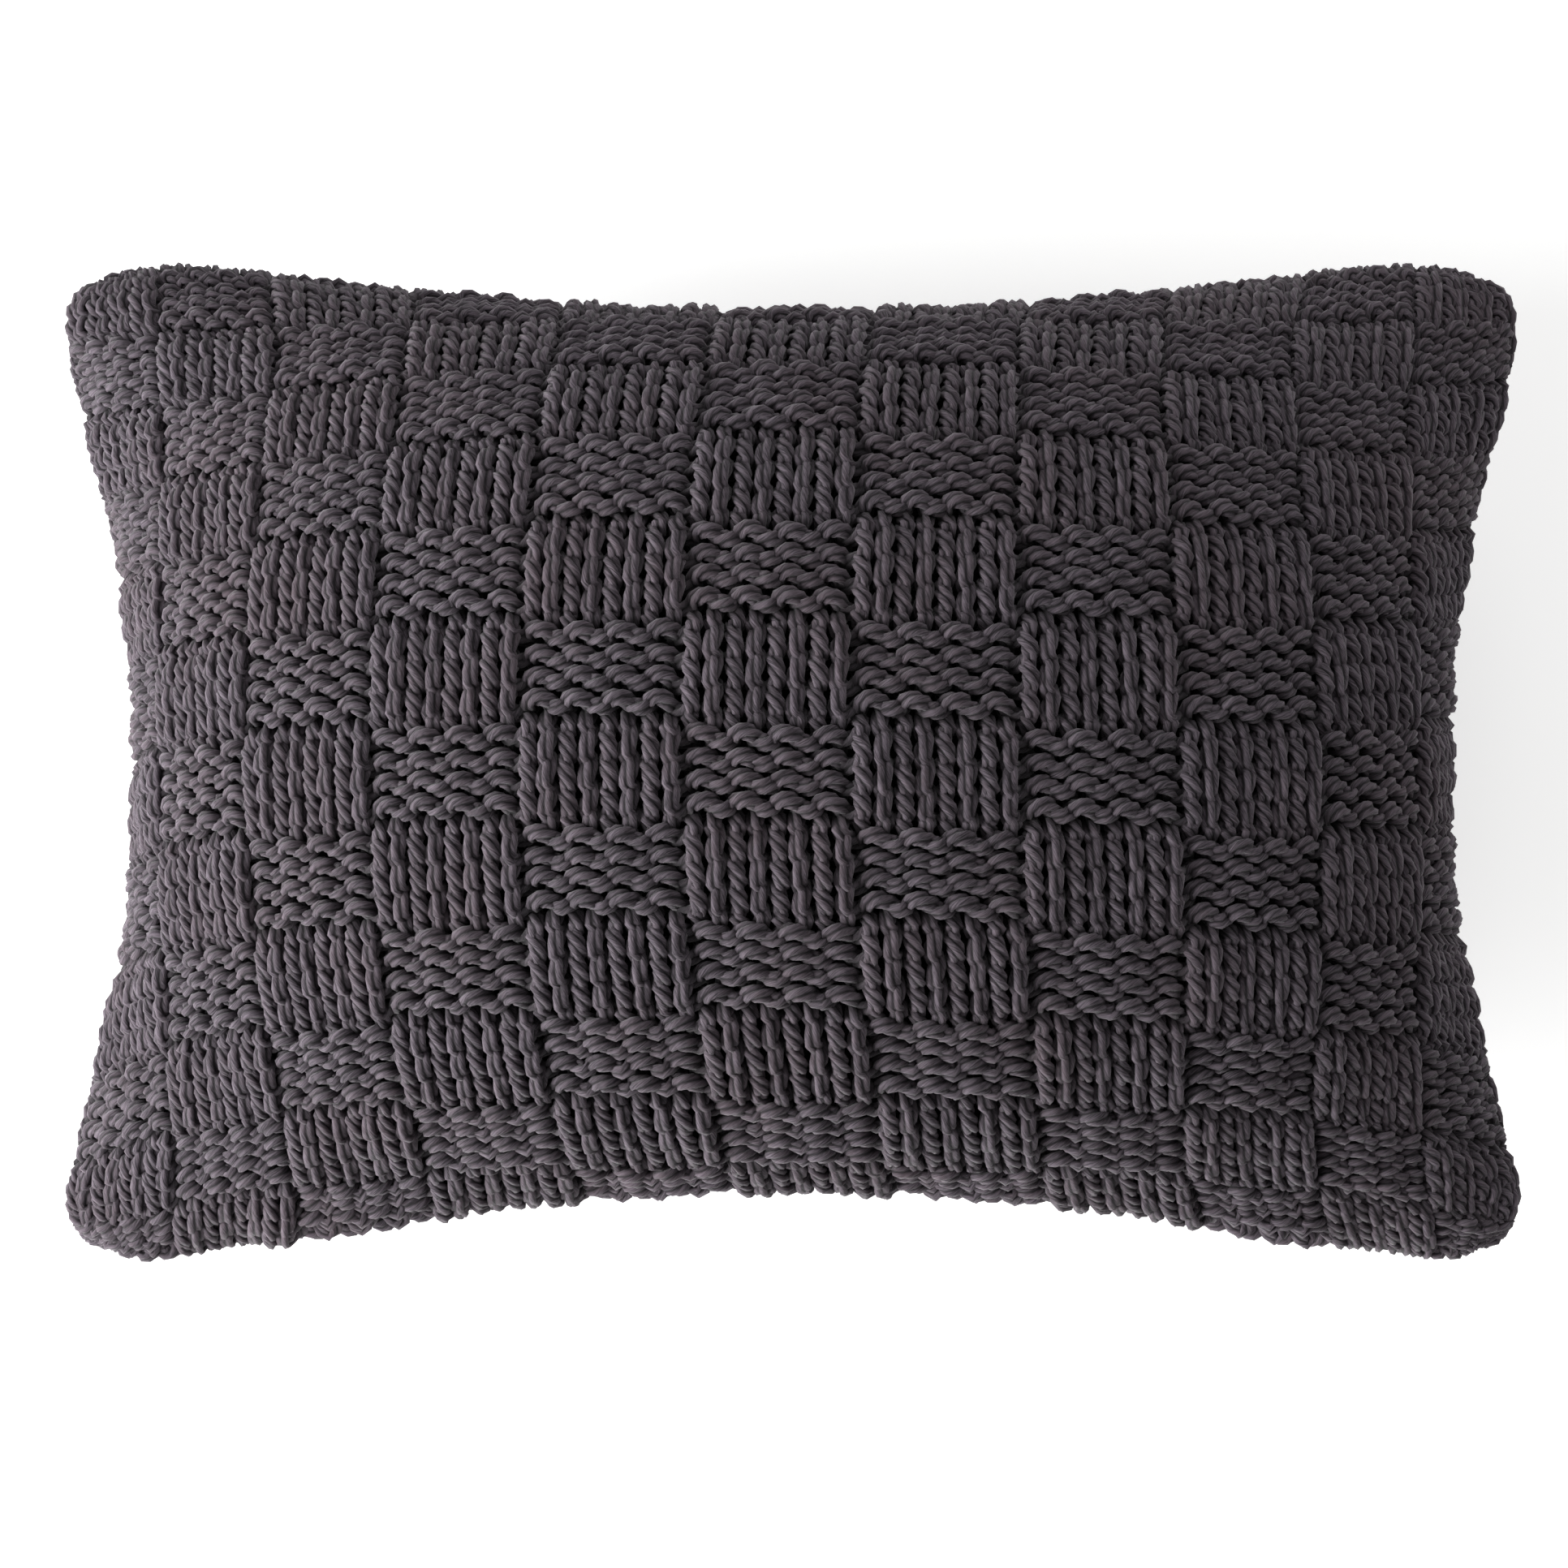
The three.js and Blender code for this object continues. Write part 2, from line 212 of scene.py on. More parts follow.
def surface_point(u, v, side, inset, gap=0.0):
    """A point of the pillow and the direction outwards there. side is 1 in front and -1 at the back."""
    x, y, across, along = plan_point(u, v, inset)
    ca, cb = most(cosine(across), 0.0), most(cosine(along), 0.0)
    full = power(ca * cb, BULGE_POWER)
    front = exceeds(side, 0.0)
    rise = front * full + (1 - front) * least(full * REST_FLATNESS, 1.0)
    height = front * (FRONT_CROWN - gap - inset) + (1 - front) * (BACK_DEPTH - gap - inset)
    z = SEAM + side * (gap + height * rise)
    slope = BULGE_POWER * height * (front + (1 - front) * between((1 - full * REST_FLATNESS) * 6, 0.0, 1.0))
    nx = slope / (LENGTH / 2 - SIDE_PULL) * sine(across) * (cb * cb + 0.02)
    ny = slope / (WIDTH / 2 - TOP_PULL) * sine(along) * (ca * ca + 0.02)
    nz = side * power(ca * cb, 1.25)
    size = power(nx * nx + ny * ny + nz * nz + 1e-9, 0.5)
    return x, y, z, nx / size, ny / size, nz / size


middle = surface_point(np.array(0.0), np.array(0.0), np.array(1.0), 0.0)
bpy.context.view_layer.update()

# %% [markdown]
# ## The yarn's colour
# The yarn is charcoal cotton and acrylic of four plies. Close up it isn't one colour: pale and dark fibres
# run side by side, and some stretches are browner and some more violet. A thin dark line is painted along
# the grooves between the plies as painted shade. Each strand carries an attribute with its place round the
# yarn and along it, so that the fibres follow the yarn wherever it goes, which no pattern in plain space
# could do.


# %% Material helpers
def new_material(name, roughness=0.8, **sockets):
    """A material with its Principled shader. Later formulas go into its tree."""
    material = bpy.data.materials.new(name)
    material.use_nodes = True
    Field.tree = material.node_tree
    shader = material.node_tree.nodes["Principled BSDF"]
    shader.inputs["Roughness"].default_value = roughness
    for socket, value in sockets.items():
        shader.inputs[socket.replace("_", " ")].default_value = value
    return material, shader


def mix_colours(factor, first, second):
    node = add_node("ShaderNodeMix", {"data_type": "RGBA"})
    wire(factor, node.inputs[0])
    wire(first, node.inputs[6])
    wire(second, node.inputs[7])
    return node.outputs[2]


def noise(vector, scale, detail=2.0, roughness=0.5):
    node = add_node("ShaderNodeTexNoise", Vector=vector, Scale=scale, Detail=detail, Roughness=roughness)
    return Field(node.outputs[0])


def bump(height, distance, strength, shader):
    node = add_node("ShaderNodeBump", Height=height, Distance=distance, Strength=strength)
    wire(node.outputs[0], shader.inputs["Normal"])


def place_vector():
    return add_node("ShaderNodeTexCoord").outputs["Object"]


# %% [markdown]
# ### Fibres, plies and grooves
# The noise that draws the fibres is read in the yarn's own space: two numbers say where round the yarn a
# point lies and one says how far along. Turning that space as it runs lays the fibres at a slant, as
# spinning does. A second attribute says how far forward the loop lies here, and the yarn that dives behind
# its neighbours is darkened, because little light gets down between thick loops.

# %% Charcoal yarn
PLIES = 4
FIBRE_TURN, FIBRE_STRETCH = 170.0, (1.0, 1.0, 45.0)
# The colour of the painted shade in the ply grooves and on the loops that lie far back.
PAINTED_SHADE = (0.004, 0.0035, 0.004, 1)


def yarn_material(name, dark, pale, brown):
    material, shader = new_material(name, 0.88, Sheen_Weight=0.18, Sheen_Roughness=0.45,
                                    Specular_IOR_Level=0.25)
    strand = add_node("ShaderNodeAttribute", {"attribute_name": "strand"}).outputs["Vector"]
    parts = add_node("ShaderNodeSeparateXYZ", Vector=strand)
    c, s, along = (Field(o) for o in parts.outputs)
    around = calc("ARCTAN2", s, c)
    groove = power((1 + cosine(around * PLIES)) / 2, 5.0)
    lean = add_node("ShaderNodeVectorRotate", {"rotation_type": "Z_AXIS"}, Vector=strand)
    wire(along * FIBRE_TURN, lean.inputs["Angle"])
    fine = add_node("ShaderNodeVectorMath", {"operation": "MULTIPLY"})
    wire(lean.outputs[0], fine.inputs[0])
    wire(FIBRE_STRETCH, fine.inputs[1])
    fibres = noise(fine.outputs[0], 6.5, 3.0, 0.7)
    streaks = noise(fine.outputs[0], 2.3, 1.0)
    patches = noise(place_vector(), 26.0, 2.0)
    heather = noise(place_vector(), 420.0, 1.0)
    shade = (fibres - 0.5) * 3.4 + (streaks - 0.5) * 1.0 + 0.5
    base = mix_colours(between(shade, 0.0, 1.0), dark, pale)
    tone = mix_colours(between((patches - 0.4) * 2 + (heather - 0.5) * 1.5, 0.0, 1.0), base, brown)
    part = mix_colours(0.5, base, tone)
    # Painted shade: a thin dark line along each groove between the plies.
    groove_shaded = mix_colours(groove * 0.85, part, PAINTED_SHADE)
    lift = Field(add_node("ShaderNodeAttribute", {"attribute_name": "lift"}).outputs["Fac"])
    # Painted shade: yarn that lies behind its neighbours is mixed towards the dark shade colour.
    depth_shaded = mix_colours(between((0.92 - lift) * 1.6, 0.0, 0.95), groove_shaded, PAINTED_SHADE)
    wire(depth_shaded, shader.inputs["Base Color"])
    wire(0.82 + fibres * 0.15, shader.inputs["Roughness"])
    bump(fibres * 0.7 + heather * 0.3 - groove * 0.8, 0.0007, 0.75, shader)
    return material


DARK_FIBRE, PALE_FIBRE = (0.020, 0.0168, 0.021, 1), (0.134, 0.110, 0.133, 1)
BROWN_FIBRE = (0.086, 0.061, 0.070, 1)
knit_yarn = yarn_material("knit_yarn", DARK_FIBRE, PALE_FIBRE, BROWN_FIBRE)
print("knit yarn", knit_yarn.name)

# %% [markdown]
# ## Knitting the cover
# Knitting is one thread that runs back and forth in rows of loops, each pulled through the loop below. On
# a knit stitch the two legs of the loop lie in front and look like a rope; on a purl stitch the legs are
# behind, and the round head and the sinker between two loops show as bumps. One rule places a point of the
# thread: how far it is across the stitch, how far up, and how deep. Which parts lie in front depends only
# on which squares are knit. The rows start at the bottom rim, climb the front, roll over the top edge and
# go down the back, as they do on a cover knitted in one strip.

# %% Stitch counts and sizes
WALES, COURSES, BLOCK = 44, 48, 4
SEGMENTS = 17
YARN_RADIUS, LOOP_DEPTH = 0.0031, 0.0027
KNIT_INSET = 0.0057
BAND = 8
LOOP_RISE, LEG_SWAY = 0.705, 0.16
ZIP_REACH, ZIP_LIFT = 0.178, 0.0092


def block_sign(wale, course):
    """1 where the stitch is knit and -1 where it is purl."""
    total = floor_of(wale / BLOCK) + floor_of(course / BLOCK)
    return calc("MODULO", total + 16, 2.0) * 2 - 1


def stitch_point(across, course, depth):
    """A point of the loops, in wales and courses, with its depth and its shift inside its square."""
    wale = least(floor_of(across), WALES - 1.0)
    t = across - wale
    up = LOOP_RISE * (1 - cosine(2 * math.pi * t))
    side = t + LEG_SWAY * sine(4 * math.pi * t)
    near = least(t, 1 - t)
    phase = power(near * 2, 0.756)
    here, above = block_sign(wale, course), block_sign(wale, course + 1)
    gap = floor_of(across + 0.5)
    sinker = (block_sign(gap - 1, course) + block_sign(gap, course)) * -0.5
    to_leg, to_neck, to_head = ease(phase, 0.04, 0.46), ease(phase, 0.46, 0.68), ease(phase, 0.60, 0.98)
    z = sinker + (here - sinker) * to_leg + (above - here) * to_neck - above * 2 * to_head
    return wale + side, course + up, z * depth


def fold(w):
    """Courses counted over the top edge and down the back, as v and the side of the pillow."""
    front = exceeds(float(COURSES), w)
    v = (w * 2 / COURSES - 1) * front + (3 - w * 2 / COURSES) * (1 - front)
    return v, front * 2 - 1


def even_rim(v):
    """Slows v near the rims, where the panel turns over, so that rows keep their height."""
    away = most(1 - size_of(v), 0.0)
    return sign_of(v) * (1 - away * power(away / (away + 0.03) * 1.03, 0.4))


ACROSS_DRIFT = {(0, 0): -0.0286, (0, 2): 0.0516, (0, 3): -0.0105, (1, 0): -0.0492, (1, 2): 0.1707,
                (2, 1): -0.0563}
UP_DRIFT = {(0, 0): 0.0769, (0, 1): -0.066, (0, 2): 0.08, (1, 0): -0.0157, (1, 1): 0.0282,
            (2, 0): -0.0241, (2, 1): 0.1781, (2, 2): -0.2929, (3, 0): 0.0648}
ROW_SWAY = 0.2
SIDE_SPREAD, SIDE_TUCK, CORNER_SPREAD, LOW_TUCK = 0.012, 0.0024, 0.007, 0.003
ZIP_LIP = 0.002


def drift(u, v, amounts):
    """How far the fabric has slipped from an even spread, as a sum of powers of u and v."""
    total = 0.0
    for (m, n), amount in amounts.items():
        term = amount
        for factor in [u] * m + [v] * n:
            term = factor * term
        total = term + total
    return total


def knit_surface(across, row, depth, relief):
    """Lays a point of the loops on the pillow: squares puff up and sway, rims spread, the zip stays open."""
    sa, sb = sine(across * (math.pi / BLOCK)), sine(row * (math.pi / BLOCK))
    ca, cb = cosine(across * (math.pi / BLOCK)), cosine(row * (math.pi / BLOCK))
    square = between(sa * sb * -2.5, -1.0, 1.0)
    row_up = row + between(sa * 2.5, -1.0, 1.0) * cb * ROW_SWAY
    v, side = fold(between(row_up, 0.0, COURSES * 2.0))
    v = even_rim(v)
    u = across * (2 / WALES) - 1
    u, v = (u + (1 - u * u) * drift(u, v, ACROSS_DRIFT), v + (1 - v * v) * drift(u, v, UP_DRIFT))
    x, y, z, nx, ny, nz = surface_point(u, v, side, KNIT_INSET)
    out = depth + relief * square * (ca * ca - cb * cb)
    seam = ease(size_of(x), ZIP_REACH + 0.016, ZIP_REACH) * ease(v, -0.86, -1.0)
    x, y = x + nx * out, y + ny * out - ZIP_LIP * seam
    rim_x, rim_y = power(size_of(u), 3.0) * sign_of(u), power(size_of(v), 4.0)
    vv, upper = v * v, exceeds(v, 0.0)
    x = x + rim_x * (SIDE_SPREAD * vv * power(most(1 - vv, 0.0), 0.5) - SIDE_TUCK)
    y = y + rim_y * power(u * u, 4.0) * (upper * CORNER_SPREAD - LOW_TUCK)
    z = most(z + nz * out + side * ZIP_LIFT * seam, YARN_RADIUS)
    return x, y, z


print("stitches", WALES * COURSES * 2)

# %% [markdown]
# ## The yarn itself
# A four-ply yarn is four strands twisted together, so its cross-section has four lobes and its outline
# turns as it runs. Curve to Mesh carries that cross-section along the loops, and the curve's tilt twists
# it. The twist opens on one leg of each loop and closes on the other, which makes the left legs look like
# rope and the right legs like a chain of leaves. The hand that knits is never quite even, so a seeded
# noise moves the loops by a fraction of a millimetre and makes the yarn thicker and thinner.


# %% Geometry Nodes helpers
def new_tree(name, inputs):
    """A Geometry Nodes tree with named inputs. Returns the tree and its inputs by name."""
    tree = bpy.data.node_groups.new(name, "GeometryNodeTree")
    Field.tree = tree
    tree.interface.new_socket("Geometry", in_out="OUTPUT", socket_type="NodeSocketGeometry")
    for label, (kind, value) in inputs.items():
        socket = tree.interface.new_socket(label, in_out="INPUT", socket_type=kind)
        if value is not None:
            socket.default_value = value
    entry = tree.nodes.new("NodeGroupInput")
    return tree, {label: entry.outputs[label] for label in inputs}


def end_tree(geometry, material):
    """Every tree ends the same way: instances made real, then the material."""
    real = add_node("GeometryNodeRealizeInstances", Geometry=geometry)
    dressed = add_node("GeometryNodeSetMaterial", Geometry=real.outputs[0], Material=material)
    exit_node = Field.tree.nodes.new("NodeGroupOutput")
    Field.tree.links.new(dressed.outputs[0], exit_node.inputs[0])


def grow(tree, name, values, path=None):
    """Runs a tree with these input values and returns its result as a plain mesh object."""
    grown = add_object(name, path or bpy.data.meshes.new(name))
    modifier = grown.modifiers.new("grow", "NODES")
    modifier.node_group = tree
    for item in tree.interface.items_tree:
        if item.in_out == "INPUT" and item.name in values:
            modifier[item.identifier] = values[item.name]
    bpy.context.view_layer.update()
    evaluated = grown.evaluated_get(bpy.context.evaluated_depsgraph_get())
    mesh = bpy.data.meshes.new_from_object(evaluated)
    grown.modifiers.clear()
    grown.data = mesh
    mesh.name = name
    return grown


def xyz(x, y, z):
    node = add_node("ShaderNodeCombineXYZ")
    for value, socket in zip((x, y, z), node.inputs):
        wire(value, socket)
    return node.outputs[0]


PLY_GROOVE = 0.36


def stored_number(name):
    """Reads a number that an earlier node stored."""
    return Field(add_node("GeometryNodeInputNamedAttribute", {"data_type": "FLOAT"}, Name=name).outputs[0])


def ply_section(radius):
    """A closed cross-section with one groove between every two plies, and its place round the yarn."""
    ring = add_node("GeometryNodeCurvePrimitiveCircle", {"mode": "RADIUS"}, Resolution=PLIES * 3, Radius=1.0)
    index = Field(add_node("GeometryNodeInputIndex").outputs[0])
    groove = exceeds(0.5, calc("MODULO", index, 3.0))
    turn = index * (2 * math.pi / (PLIES * 3))
    size = (1 - groove * PLY_GROOVE) * radius
    spot = xyz(cosine(turn) * size, sine(turn) * size, 0.0)
    shaped = add_node("GeometryNodeSetPosition", Geometry=ring.outputs[0], Position=spot)
    store = add_node("GeometryNodeStoreNamedAttribute", {"data_type": "FLOAT_VECTOR", "domain": "POINT"},
                     Geometry=shaped.outputs[0], Name="round")
    wire(xyz(cosine(turn), sine(turn), 0.0), store.inputs["Value"])
    return store.outputs[0]


# %% [markdown]
# ### One tree for every stitch
# The tree starts with a straight line for each row, cut into short steps, and moves every point to its place
# in the loops. Anything that depends on the place along the straight line has to be stored before the line
# is bent, because afterwards the same question gets the answer for the bent line. Here these are the twist
# and how far forward the loop lies. The row's number is stored too, so that one tree serves all rows.

# %% The knitting tree
knit_tree, given = new_tree("knitting", {
    "First Course": ("NodeSocketInt", 0), "Courses": ("NodeSocketInt", BAND),
    "Yarn Radius": ("NodeSocketFloat", YARN_RADIUS), "Loop Depth": ("NodeSocketFloat", LOOP_DEPTH),
    "Block Relief": ("NodeSocketFloat", 0.0017), "Twist Length": ("NodeSocketFloat", 0.026),
    "Seed": ("NodeSocketFloat", 3.0), "Material": ("NodeSocketMaterial", None)})


HEAD_CROWDING, TWIST_SWING = 0.014, 0.65
WOBBLE_ACROSS, WOBBLE_UP, WOBBLE_DEPTH, WOBBLE_RADIUS = 0.16, 0.24, 0.0012, 0.22


def knit_rows(given):
    """One long line for each course, bent into loops and laid on the pillow."""
    line = add_node("GeometryNodeCurvePrimitiveLine")
    fine = add_node("GeometryNodeResampleCurve", Curve=line.outputs[0], Count=WALES * SEGMENTS + 1)
    rows = add_node("GeometryNodeDuplicateElements", {"domain": "SPLINE"},
                    Geometry=fine.outputs[0], Amount=given["Courses"])
    course_index = Field(rows.outputs["Duplicate Index"]) + Field(given["First Course"])
    keep_course = add_node("GeometryNodeStoreNamedAttribute", {"data_type": "FLOAT", "domain": "CURVE"},
                           Geometry=rows.outputs[0], Name="course", Value=course_index)
    course = stored_number("course")
    along = add_node("GeometryNodeSplineParameter")
    across = Field(along.outputs["Factor"]) * WALES
    across = across - HEAD_CROWDING * sine(across * (4 * math.pi))
    wobble = add_node("ShaderNodeTexNoise", Scale=0.8, Detail=1.0,
                      Vector=xyz(across, course * 7.31, Field(given["Seed"])))
    three = add_node("ShaderNodeSeparateXYZ", Vector=wobble.outputs["Color"])
    r, g, b = (Field(o) - 0.5 for o in three.outputs)
    a, row, depth = stitch_point(across, course, Field(given["Loop Depth"]))
    x, y, z = knit_surface(a + r * WOBBLE_ACROSS, row + g * WOBBLE_UP, depth + b * WOBBLE_DEPTH,
                           Field(given["Block Relief"]))
    cast = exceeds(0.5, course) + exceeds(course, COURSES * 2 - 1.5)
    t = across - floor_of(across)
    swing = add_node("GeometryNodeStoreNamedAttribute", {"data_type": "FLOAT", "domain": "POINT"},
                     Geometry=keep_course.outputs[0], Name="swing",
                     Value=cosine(2 * math.pi * t) * TWIST_SWING)
    lift = add_node("GeometryNodeStoreNamedAttribute", {"data_type": "FLOAT", "domain": "POINT"},
                    Geometry=swing.outputs[0], Name="lift",
                    Value=between(depth / (Field(given["Loop Depth"]) * 2) + 0.5 + cast, 0.0, 1.0))
    bent = add_node("GeometryNodeSetPosition", Geometry=lift.outputs[0], Position=xyz(x, y, z))
    thick = add_node("GeometryNodeSetCurveRadius", Curve=bent.outputs[0], Radius=1 + b * WOBBLE_RADIUS)
    length = Field(add_node("GeometryNodeSplineParameter").outputs["Length"])
    tilt = stored_number("swing") - length / Field(given["Twist Length"]) * (2 * math.pi) + course * 1.7
    turned = add_node("GeometryNodeSetCurveTilt", Curve=thick.outputs[0], Tilt=tilt)
    store = add_node("GeometryNodeStoreNamedAttribute", {"data_type": "FLOAT", "domain": "POINT"},
                     Geometry=turned.outputs[0], Name="run", Value=length + course * 0.37)
    return store.outputs[0]


def sweep_yarn(rows, radius):
    """Carries the cross-section along the rows and writes the strand attribute that the fibres follow."""
    tube = add_node("GeometryNodeCurveToMesh", Curve=rows, Profile_Curve=ply_section(radius), Fill_Caps=True)
    ring = add_node("GeometryNodeInputNamedAttribute", {"data_type": "FLOAT_VECTOR"}, Name="round")
    run = add_node("GeometryNodeInputNamedAttribute", {"data_type": "FLOAT"}, Name="run")
    c, s, _ = (Field(o) for o in add_node("ShaderNodeSeparateXYZ", Vector=ring.outputs[0]).outputs)
    strand = add_node("GeometryNodeStoreNamedAttribute", {"data_type": "FLOAT_VECTOR", "domain": "POINT"},
                      Geometry=tube.outputs[0], Name="strand")
    wire(xyz(c, s, Field(run.outputs[0])), strand.inputs["Value"])
    smooth = add_node("GeometryNodeSetShadeSmooth", Geometry=strand.outputs[0])
    return smooth.outputs[0]


end_tree(sweep_yarn(knit_rows(given), Field(given["Yarn Radius"])), given["Material"])
print("knitting tree nodes", len(knit_tree.nodes))

# %% [markdown]
# ### From tree to plain meshes
# The cover is made in bands of eight rows, which keeps each mesh a handy size. Each band runs the same tree
# with another first row, and the result is kept as a plain mesh, so nothing has to be worked out again when
# the pillow is used elsewhere.

# %% Knit the bands
for first in range(0, COURSES * 2, BAND):
    face = "front" if first < COURSES else "back"
    number = (first if first < COURSES else COURSES * 2 - BAND - first) // BAND + 1
    band = grow(knit_tree, f"knit_{face}_{number}", {"First Course": first, "Material": knit_yarn})
    for spent in ("round", "swing"):
        band.data.attributes.remove(band.data.attributes[spent])
    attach(band, "pillow")
    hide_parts(f"cover_{face}_panel")
    print(band.name, "triangles", sum(len(face.vertices) - 2 for face in band.data.polygons))

# %% [markdown]
# ## The yarn that joins the panels
# The two panels of the cover are sewn together along the rim with a thinner length of the same yarn, in
# whip stitches that go round both edges. It lies just inside the outermost loops and leaves the zip's
# opening free. A helix along the rim gives these stitches, and a tree can wind it round any path.

# %% Path helpers
def path_object(name, points):
    """A mesh of one open line, which a tree turns into a curve."""
    mesh = bpy.data.meshes.new(name)
    mesh.from_pydata([tuple(map(float, p)) for p in points], [(i, i + 1) for i in range(len(points) - 1)], [])
    return mesh


def rim_points(inset, reach, count=700):
    """Points round the rim from one end of the zip's opening to the other, by way of the top edge."""
    turn = np.linspace(-1, 7, 4000, endpoint=False)
    part = np.floor((turn + 1) / 2)
    local = turn - (part * 2 - 1) - 1
    one = np.ones_like(turn)
    u = np.select([part == 0, part == 1, part == 2], [local, one, -local], -one)
    v = np.select([part == 0, part == 1, part == 2], [-one, local, one], -local)
    x, y, _, _ = plan_point(u, v, inset)
    middle_bottom = int(np.argmin(np.where(v < -0.999, np.abs(u), 9)))
    x, y = np.roll(x, -middle_bottom), np.roll(y, -middle_bottom)
    keep = ~((np.abs(x) < reach) & (np.roll(v, -middle_bottom) < -0.98))
    x, y = x[keep], y[keep]
    step = np.concatenate([[0], np.cumsum(np.hypot(np.diff(x), np.diff(y)))])
    at = np.linspace(0, step[-1], count)
    return np.column_stack([np.interp(at, step, x), np.interp(at, step, y), np.full(count, SEAM)])


SEAM_YARN_INSET = 0.0092
rim = rim_points(SEAM_YARN_INSET, ZIP_REACH)
print("rim path", len(rim), "points, ends", rim[0].round(3), rim[-1].round(3))

# %% The winding tree
def round_tube(curve, sides, radius):
    """A round strand along a curve, closed at its ends."""
    ring = add_node("GeometryNodeCurvePrimitiveCircle", {"mode": "RADIUS"}, Resolution=sides, Radius=radius)
    tube = add_node("GeometryNodeCurveToMesh", Curve=curve, Profile_Curve=ring.outputs[0], Fill_Caps=True)
    return tube.outputs[0]


wind_tree, given = new_tree("winding", {
    "Path": ("NodeSocketGeometry", None), "Turns": ("NodeSocketFloat", 100.0),
    "Coil Radius": ("NodeSocketFloat", 0.002), "Flatness": ("NodeSocketFloat", 1.0),
    "Strand Radius": ("NodeSocketFloat", 0.0008), "Points per Turn": ("NodeSocketInt", 12),
    "Sides": ("NodeSocketInt", 6), "Start": ("NodeSocketFloat", 0.0),
    "Material": ("NodeSocketMaterial", None)})
line = add_node("GeometryNodeMeshToCurve", Mesh=given["Path"])
turns = Field(given["Turns"])
fine = add_node("GeometryNodeResampleCurve", Curve=line.outputs[0],
                Count=(turns * Field(given["Points per Turn"]) + 1).socket)
along = Field(add_node("GeometryNodeSplineParameter").outputs["Factor"])
angle = along * turns * (2 * math.pi) + Field(given["Start"])
tangent = add_node("GeometryNodeInputTangent").outputs[0]
aside = add_node("ShaderNodeVectorMath", {"operation": "CROSS_PRODUCT"})
wire(tangent, aside.inputs[0])
wire((0.0, 0.0, 1.0), aside.inputs[1])
radius = Field(given["Coil Radius"])
out = add_node("ShaderNodeVectorMath", {"operation": "SCALE"}, Vector=aside.outputs[0],
               Scale=cosine(angle) * radius * Field(given["Flatness"]))
rise = add_node("ShaderNodeVectorMath", {"operation": "ADD"})
wire(out.outputs[0], rise.inputs[0])
wire(xyz(0.0, 0.0, sine(angle) * radius), rise.inputs[1])
wound = add_node("GeometryNodeSetPosition", Geometry=fine.outputs[0], Offset=rise.outputs[0])
tube = round_tube(wound.outputs[0], given["Sides"], given["Strand Radius"])
end_tree(add_node("GeometryNodeSetShadeSmooth", Geometry=tube).outputs[0], given["Material"])
print("winding tree nodes", len(wind_tree.nodes))


# %% Seam yarn
def thread_material(name, dark, pale, roughness=0.85):
    """Fine twisted thread: narrow light and dark fibres."""
    material, shader = new_material(name, roughness, Sheen_Weight=0.15)
    fibres = noise(place_vector(), 1400.0, 2.0)
    wire(mix_colours(between((fibres - 0.35) * 3, 0.0, 1.0), dark, pale), shader.inputs["Base Color"])
    bump(fibres, 0.0003, 0.6, shader)
    return material


seam_yarn = thread_material("seam_yarn", (0.028, 0.024, 0.028, 1), (0.09, 0.078, 0.087, 1))
joining = grow(wind_tree, "seam_yarn", {"Turns": 230.0, "Coil Radius": 0.0022, "Strand Radius": 0.0009,
                                        "Points per Turn": 12, "Material": seam_yarn},
               path_object("rim_path", rim))
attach(joining, "pillow")
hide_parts("cover_seam_yarn")
print("seam yarn faces", len(joining.data.polygons))

# %% [markdown]
# ## The lining, the insert's shell and the fill
# A loose knit would show the white insert through its gaps, so makers line it with dark cloth. The lining
# is two panels of plain weave sewn into the seam, left open behind the zip. Inside lies the insert, a white
# cotton case stuffed with fibre. All three follow the same pillow shape, each a little smaller than the one
# outside it, so one helper builds them: a grid laid on the surface, with a second skin for the thickness.
# The insert's cotton puckers along its seam, and the fill is lumpy.


# %% Cloth panel helper
OPENING_REACH, EDGE_CROWDING = 0.1535, 0.96
PANEL_GRID, FILL_GRID = (92, 68), (84, 62)


def even_steps(count):
    """Steps from -1 to 1 that crowd at both ends, where the surface bends most."""
    reach = math.pi / 2 * EDGE_CROWDING
    return np.sin(np.linspace(-1, 1, count) * reach) / math.sin(reach)


def quads(ids):
    """The faces of a grid whose points have these numbers."""
    corners = ids[:-1, :-1], ids[:-1, 1:], ids[1:, 1:], ids[1:, :-1]
    return np.column_stack([corner.ravel() for corner in corners])


def low_edge(u, side, inset, gap, opening):
    """v of the panel's bottom edge, which stands back from the seam where the zip is."""
    if opening <= 0:
        return np.full_like(u, -1.0)
    v = np.linspace(-1, -0.5, 2000)
    low = np.empty_like(u)
    for k, at in enumerate(u):
        x, y, z, *_ = surface_point(np.full_like(v, at), v, side, inset, gap)
        hidden = abs(x[0]) < OPENING_REACH
        enough = np.abs(z - SEAM) >= opening
        low[k] = v[np.argmax(enough)] if hidden else -1.0
    return low


